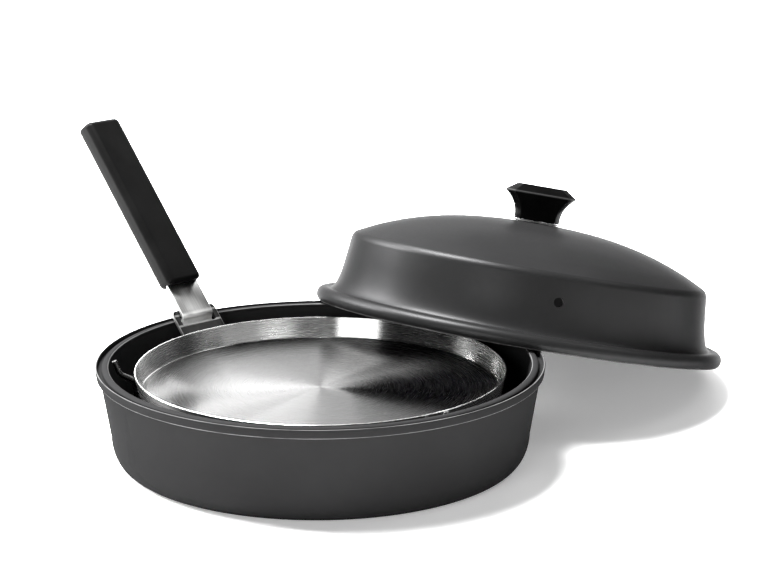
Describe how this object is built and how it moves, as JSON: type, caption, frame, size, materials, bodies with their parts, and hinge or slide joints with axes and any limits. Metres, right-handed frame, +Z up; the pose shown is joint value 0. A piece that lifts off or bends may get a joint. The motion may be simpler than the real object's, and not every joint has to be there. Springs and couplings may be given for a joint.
{
  "type": "stovetop oven",
  "caption": "Round stovetop oven: dark anodised pan with a guttered rim, steel tray on wire legs with a hook-on handle, and a domed lid with a faceted knob leaning on the rim.",
  "frame": {"origin": "centre of the pan's underside", "axes": "+Z up along the pan's axis; the picture looks along +Y, with the handle at the left and the lid at the right"},
  "size_m": [0.3883, 0.3832, 0.1602],
  "materials": {
    "anodised": "satin dark anodising",
    "tray_steel": "bright, circular brushing on the floor",
    "wire_steel": "bright drawn wire",
    "strip_steel": "brushed along its length",
    "grip_black": "satin",
    "knob_black": "polished",
    "brass": "turned"
  },
  "bodies": {
    "pan": {"base_pan": "anodised"},
    "tray": {"steel_tray": "tray_steel", "tray_leg_left": "wire_steel", "tray_leg_front": "wire_steel", "tray_leg_back": "wire_steel", "tray_lug": "strip_steel"},
    "handle": {"handle_tang": "strip_steel", "handle_grip": "grip_black"},
    "lid": {"lid_shell": "anodised", "knob_seat_plate": "strip_steel", "knob": "knob_black", "knob_insert": "brass", "knob_washer": "wire_steel", "knob_screw": "wire_steel"}
  },
  "joints": [
    {"name": "tray_lift", "type": "slide", "parent": "pan", "child": "tray", "axis": [0, 0, 1], "range_m": [0, 0.1]},
    {"name": "handle_swing", "type": "hinge", "parent": "tray", "child": "handle", "pos_m": [-0.0728, 0.08707, 0.0554], "axis": [0.7672, 0.6414, 0], "range_deg": [0, 55]},
    {"name": "lid_lift", "type": "slide", "parent": "tray", "child": "lid", "axis": [0, 0, 1], "range_m": [0, 0.15]}
  ]
}
